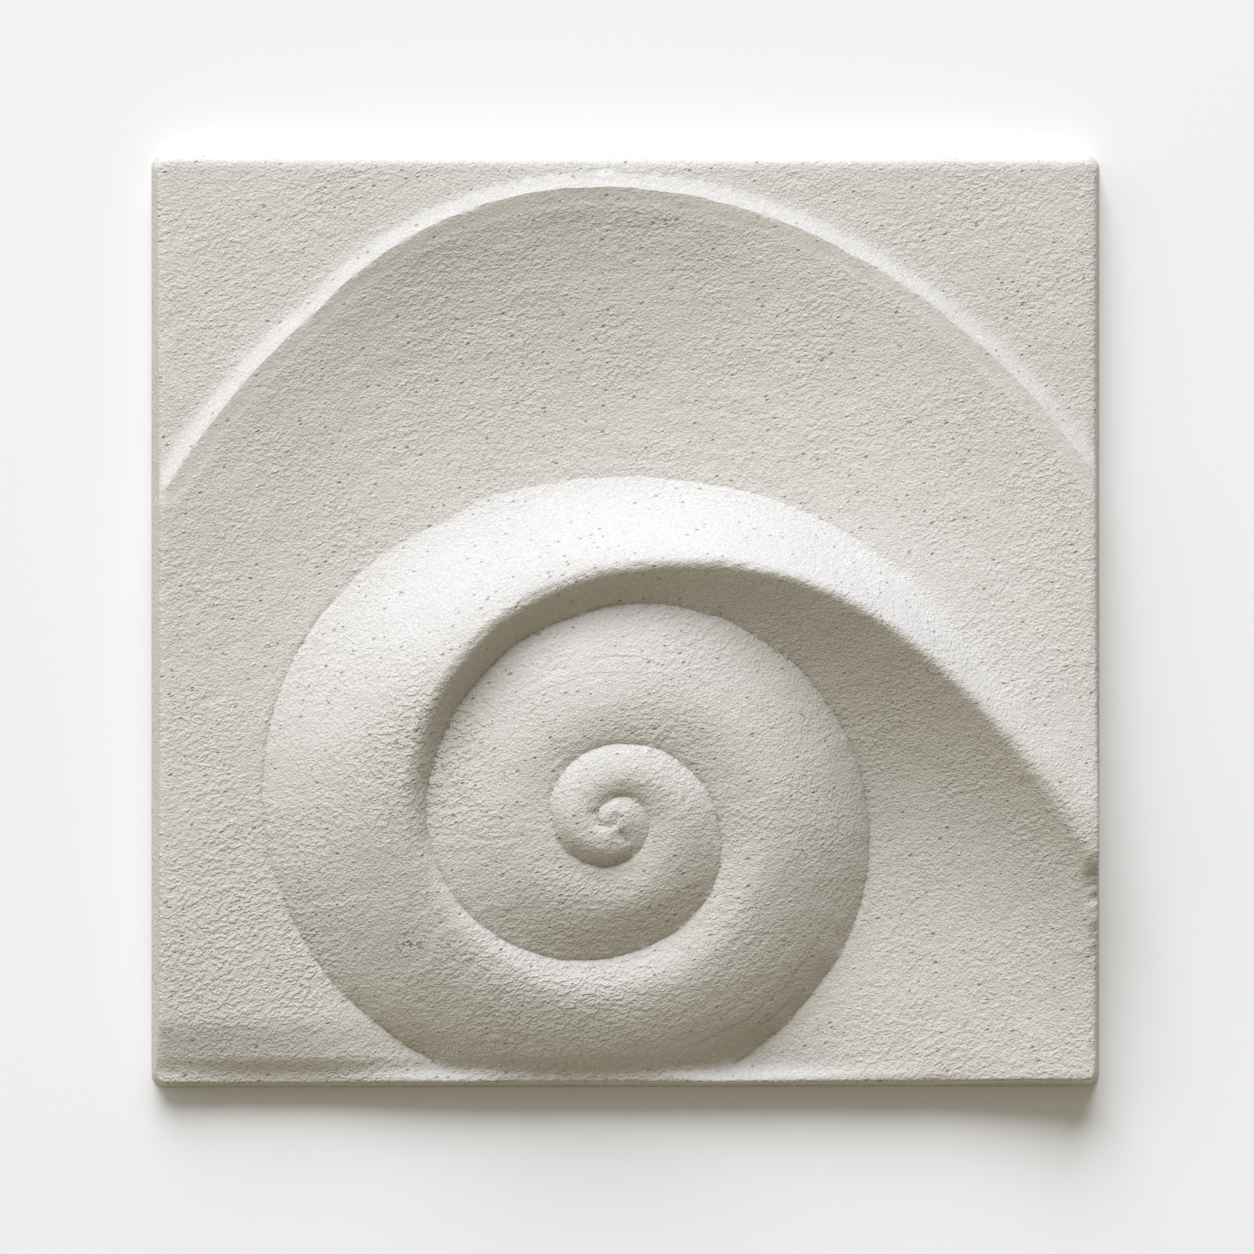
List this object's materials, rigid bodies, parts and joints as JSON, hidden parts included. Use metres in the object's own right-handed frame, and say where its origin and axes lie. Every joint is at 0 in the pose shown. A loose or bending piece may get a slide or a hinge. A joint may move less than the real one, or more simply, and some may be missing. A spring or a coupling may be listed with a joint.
{
  "type": "wall relief tile",
  "caption": "Near-square unglazed clay wall tile with a coiled spiral shell in relief, its sharp flaring lip, a raised rim arc, drafted sides and a flat back.",
  "frame": {"origin": "middle of the flat back face, on the plane of the back", "axes": "+X across the tile to the viewer's right, +Y up the tile as it hangs, +Z out of the relief towards the viewer"},
  "size_m": [0.2, 0.1964, 0.0282],
  "materials": {
    "bisque_clay": "matte unglazed off-white clay with a fine gritty grain and small pits"
  },
  "bodies": {
    "root": {"relief_tile": "bisque_clay"}
  },
  "joints": []
}
